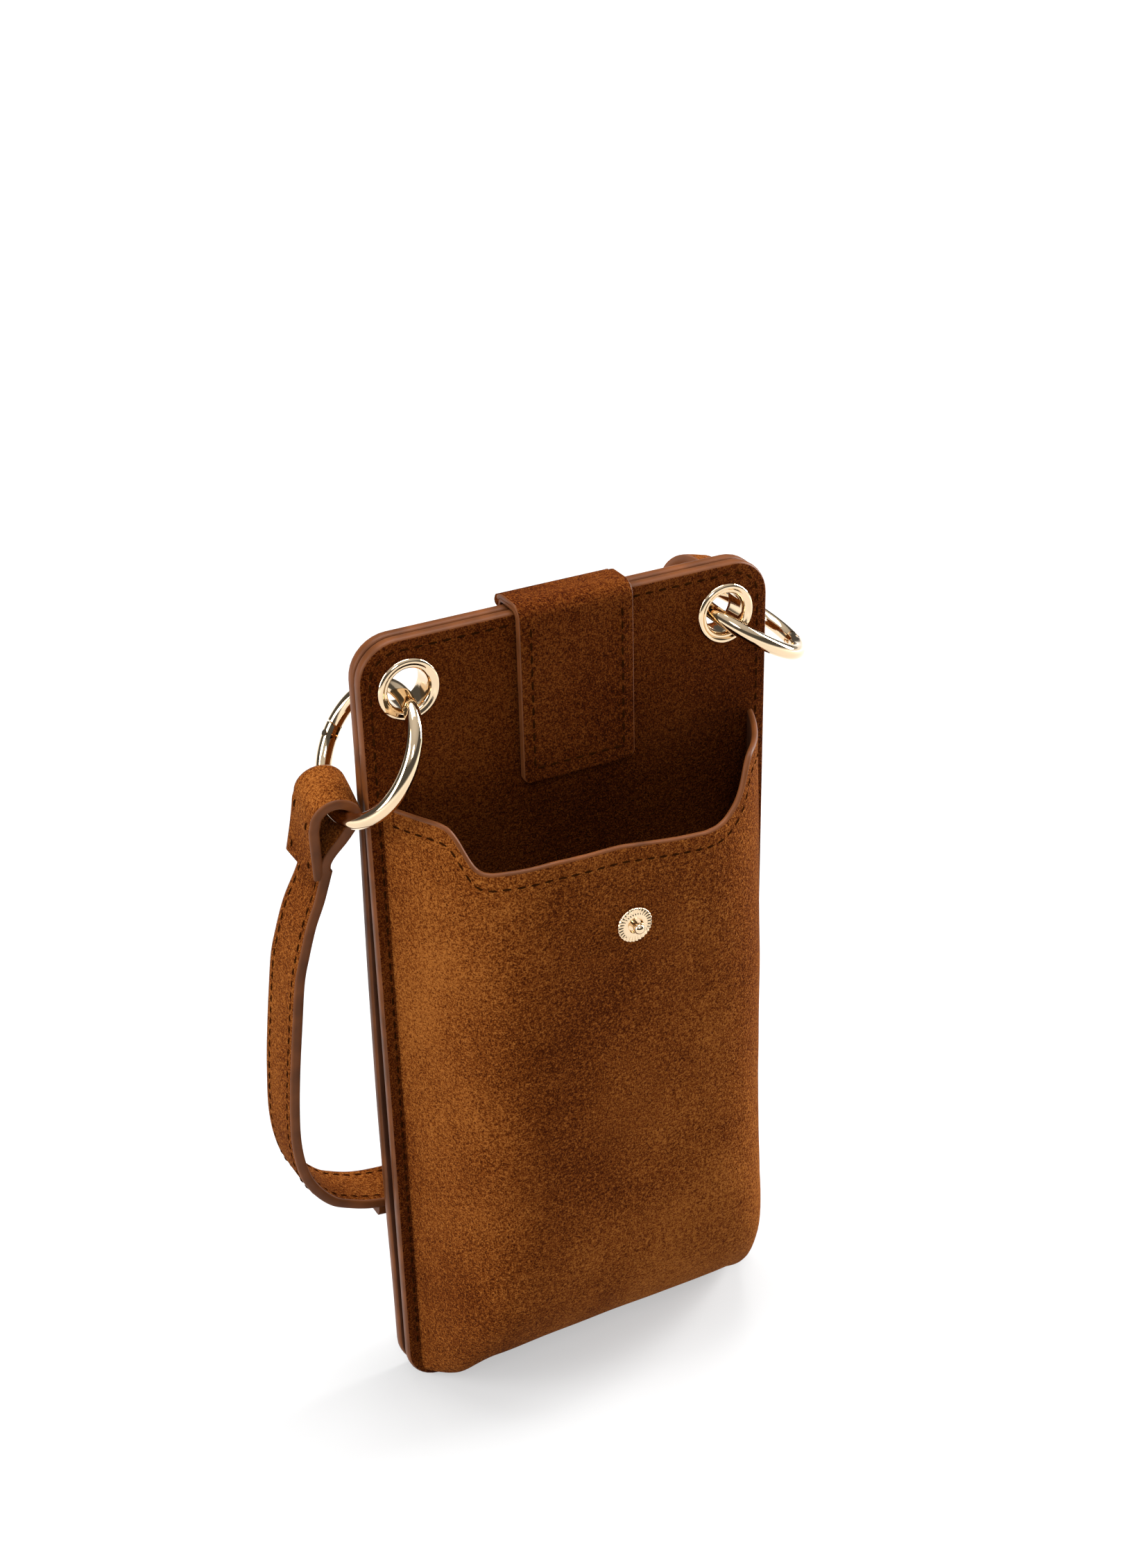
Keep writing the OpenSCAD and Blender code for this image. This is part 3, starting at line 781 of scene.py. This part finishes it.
def yz_band(name, path2, w, t, mats, scale=None, bulge=0.0):
    path = [np.array((0, y, z), float) for y, z in path2]
    return sweep(name, path, [(1, 0, 0)] * len(path), w, t, mats, scale, bulge)


def tab_path(off):
    """off: distance from the tab's inner face to this layer's middle."""
    fy, fz, r, back, r2 = -0.7, 185.4, 1.5 + off, 3.7, 1.0 + off
    arc = [math.radians(a) for a in range(0, 91, 10)]
    pts = [(TAB_FACE - off, TAB_END + (fz - TAB_END) * k / 24) for k in range(24)]
    pts += [(fy - r * math.cos(a), fz + r * math.sin(a)) for a in arc]
    pts += [(fy + (back - fy) * k / 4, fz + r) for k in range(1, 4)]
    return pts + [(back + r2 * math.sin(a), 185.9 + r2 * math.cos(a)) for a in arc]


def corner_scale(pts, w, r):
    out, d = [], 0.0
    for k, p in enumerate(pts):
        if k:
            d += math.hypot(p[0] - pts[k - 1][0], p[1] - pts[k - 1][1])
        cut = r - math.sqrt(max(r * r - max(r - d, 0) ** 2, 0))
        out.append(1 - 2 * cut / w)
    return out


def dense_end(pts, r):
    """More rows over the rounded corners."""
    p0, p1 = pts[0], pts[1]
    ln_ = math.hypot(p1[0] - p0[0], p1[1] - p0[1])
    k = [0, 0.06, 0.15, 0.3, 0.5, 0.75, 1.0]
    dy, dz = p1[0] - p0[0], p1[1] - p0[1]
    return [(p0[0] + dy * q * r / ln_, p0[1] + dz * q * r / ln_) for q in k] + pts[1:]


def tab_layer(name, pts, w, t, mats, bulge=0.0):
    rows = dense_end(pts, TAB_CORNER)
    return yz_band(name, rows, w, t, mats, corner_scale(rows, TAB_W, TAB_CORNER), bulge)[0]


def u_seam(name, body, y, foot, side):
    """Stitches down, across and up again; side is -1 on a front face and 1 on a back face."""
    sew, half = Thread(), TAB_W / 2 - TAB_SEW
    turns = [(-half, y, SEAM_TOP), (-half, y, foot), (half, y, foot), (half, y, SEAM_TOP)]
    for a, b in zip(turns, turns[1:]):
        sew.run([a, b], (0, side, 0))
    sew.make(name, body)


tab_o = tab_layer("tab_outer_layer", tab_path(TAB_IN + TAB_OUT / 2), TAB_W, TAB_OUT,
                  [SUEDE_DEEP, EDGE], 0.05)
dress(tab_o, "tab", "suede", "tab_outer")
tab_i = tab_layer("tab_lining", tab_path(TAB_IN / 2), TAB_W - 0.1, TAB_IN, [LINING, EDGE])
dress(tab_i, "tab", "lining", "tab_inner")
rv, rf = [], []
ends = [(-TAB_W / 2, 0.0), (-TAB_W / 2, 0.9), (-TAB_W / 2 + 0.3, ROLL_R), (TAB_W / 2 - 0.3, ROLL_R),
        (TAB_W / 2, 0.9), (TAB_W / 2, 0.0)]
for k in range(32):
    a = 2 * math.pi * k / 32
    rv += [(x, ROLL[0] + r * math.cos(a), ROLL[1] + r * math.sin(a)) for x, r in ends]
    for q in range(5):
        a, b = 6 * k + q, 6 * ((k + 1) % 32) + q
        rf.append((a, a + 1, b + 1, b))
dress(new_object("tab_roll", rv, rf, [SUEDE_DEEP], sharp=60), "tab", "suede")
anchor_top = ROLL[1] - ROLL_R - 0.3
tab_a = tab_layer("tab_anchor_piece",
                  [(REAR_OUT + TAB_T / 2, anchor_top - 26 + k * 1.04) for k in range(26)],
                  TAB_W, TAB_T, [SUEDE_DEEP, EDGE], 0.05)
dress(tab_a, "wallet", "suede", "tab_anchor")
u_seam("tab_stitching", "tab", TAB_FACE - TAB_T - 0.05, TAB_END + 3.0, -1)
u_seam("anchor_stitching", "wallet", REAR_OUT + TAB_T + 0.05, anchor_top - 23.4, 1)

# ---------------------------------------------------------------- strap
path = eased(ROUTE, 8)
wid = eased(WIDTHS, 8)
strap, frames = sweep("wrist_strap", path, wid, STRAP_W, STRAP_T, [SUEDE, EDGE], bulge=0.08)
rumple(strap, 0.10, 90)
dress(strap, "handle", "strap", "strap")
strap_sew = Thread()
for side in (-1, 1):
    for face in (-1, 1):
        up = STRAP_T / 2 + 0.05
        line = [p + u * side * (STRAP_W / 2 - STRAP_SEW) + v * face * up
                for p, (_, u, v) in zip(path, frames)]
        la = np.array(line)
        nn = [v * face for _, _, v in frames]
        strap_sew.run(line, lambda c, la=la, nn=nn: nn[np.argmin(np.linalg.norm(la - c, axis=1))])
sewn = strap_sew.make("strap_stitching", "handle", "strap")
lap_path = eased(LAP, 6)
lap, _ = sweep("strap_lap_piece", lap_path, [(0, 1, 0)] * len(lap_path), STRAP_W, STRAP_T,
               [SUEDE_DEEP, EDGE], bulge=0.05)
dress(lap, "handle", "strap", "strap_lap")


def turned(turn):
    rx, ry, rz = (math.radians(a) for a in turn)
    m = Matrix.Rotation(rz, 3, "Z") @ Matrix.Rotation(ry, 3, "Y") @ Matrix.Rotation(rx, 3, "X")
    return np.array(m)


mid_r = LOOP_R + STRAP_T / 2
x0 = -LOOP_R - 0.3
loops = []
for side, (centre, turn) in LOOPS.items():
    flat = [(x0 - STRAP_T / 2, -13 + 13 * k / 10) for k in range(10)]
    arc = [math.radians(a) for a in range(180, -1, -10)]
    flat += [(mid_r * math.cos(a), mid_r * math.sin(a)) for a in arc]
    leg = [(4.3, 0), (3.0, -2.4), (1.2, -5.2), (-1.0, -8.0), (-2.2, -10.2), (-2.4, -12.2),
           (-2.4, -14.3)]
    flat += [tuple(p) for p in eased(leg, 3)][1:]
    m = turned(turn)
    pth = [np.array(centre) + m @ np.array((x, 0, z)) for x, z in flat]
    wdir = m @ np.array((0, 1, 0))
    dirs = [wdir] * len(pth)
    if side == "left":  # the free tail is twisted a little and stands off
        for q in range(10):
            g = (1 - q / 10) ** 1.3
            dirs[q] = unit(wdir * (1 - g) + unit(np.array((-0.12, 0.90, 0.40))) * g)
            pth[q] = pth[q] + np.array((-0.5, 0.0, -1.2)) * g
    lp, fr = sweep(f"strap_loop_{side}_leather", pth, dirs, STRAP_W, STRAP_T, [SUEDE, EDGE],
                   bulge=0.08)
    rumple(lp, 0.10, 90, 3.0)
    dress(lp, "handle", "strap", f"strap_loop_{side}")
    th = Thread()
    for k in (-1, 1):
        for q in (2, 9):
            p, (t_, u, v) = pth[q], fr[q]
            outn = v if np.dot(v, m @ np.array((-1, 0, 0))) > 0 else -v
            spot = p + u * k * (STRAP_W / 2 - LOOP_SEW) + outn * (STRAP_T / 2 + 0.1)
            th.dash(spot, t_, outn, 2.0, 0.32)
    loops += [lp, th.make(f"strap_loop_{side}_stitches", "handle", "strap")]

# ---------------------------------------------------------------- studio
me = bpy.data.meshes.new("floor")
me.from_pydata([(-6, -6, 0), (6, -6, 0), (6, 6, 0), (-6, 6, 0)], [], [(0, 1, 2, 3)])
floor = bpy.data.objects.new("floor", me)
bpy.context.scene.collection.objects.link(floor)
fl = Nodes("floor")
fl.bsdf.inputs["Base Color"].default_value = (0.32, 0.32, 0.32, 1)
fl.bsdf.inputs["Roughness"].default_value = 0.9
fl.bsdf.inputs["Specular IOR Level"].default_value = 0.05
span = fl.add("ShaderNodeVectorMath", operation="LENGTH")
fl.link(fl.add("ShaderNodeTexCoord").outputs["Object"], span.inputs[0])
glow = fl.add("ShaderNodeMapRange")
glow.interpolation_type = "SMOOTHSTEP"
for k, v in (("From Min", 0.25), ("From Max", 1.1), ("To Min", 0.47), ("To Max", 0.97)):
    glow.inputs[k].default_value = v
fl.link(span.outputs["Value"], glow.inputs["Value"])
fl.bsdf.inputs["Emission Color"].default_value = (1, 1, 1, 1)
fl.link(glow.outputs[0], fl.bsdf.inputs["Emission Strength"])
me.materials.append(fl.mat)


def softbox(name, at_, towards, size, watts):
    lt = bpy.data.lights.new(name, "AREA")
    lt.shape, lt.size, lt.size_y, lt.energy = "RECTANGLE", size[0], size[1], watts
    ob = bpy.data.objects.new(name, lt)
    bpy.context.scene.collection.objects.link(ob)
    ob.location = at_
    ob.rotation_euler = (Vector(towards) - Vector(at_)).to_track_quat("-Z", "Y").to_euler()


softbox("left_box", (-1.15, 0.05, 0.62), (0, 0, 0.09), (0.55, 0.9), 15)
softbox("right_box", (1.15, 0.0, 0.55), (0, 0, 0.09), (0.4, 0.8), 27)
softbox("top_box", (0.05, 0.25, 1.35), (0, 0, 0.09), (0.9, 0.7), 20)
softbox("front_box", (-0.35, -1.0, 1.15), (0, 0, 0.1), (0.35, 0.35), 5)
world = bpy.data.worlds.new("studio")
bpy.context.scene.world = world
world.use_nodes = True
wt = world.node_tree
bg = wt.nodes["Background"]
bg.inputs[0].default_value = (1, 1, 1, 1)
sep = wt.nodes.new("ShaderNodeSeparateXYZ")
wt.links.new(wt.nodes.new("ShaderNodeTexCoord").outputs["Generated"], sep.inputs[0])
sky = wt.nodes.new("ShaderNodeValToRGB")
sky.color_ramp.interpolation = "EASE"
for e, (p, v) in zip(list(sky.color_ramp.elements), ((0.0, 0.42), (1.0, 0.8))):
    e.position, e.color = p, (v, v, v, 1)
for p, v in ((0.10, 0.10), (0.5, 0.10), (0.62, 0.55)):
    e = sky.color_ramp.elements.new(p)
    e.color = (v, v, v, 1)
wt.links.new(sep.outputs["Z"], sky.inputs[0])
wt.links.new(sky.outputs[0], bg.inputs[1])
bpy.context.scene.view_settings.view_transform = "Standard"
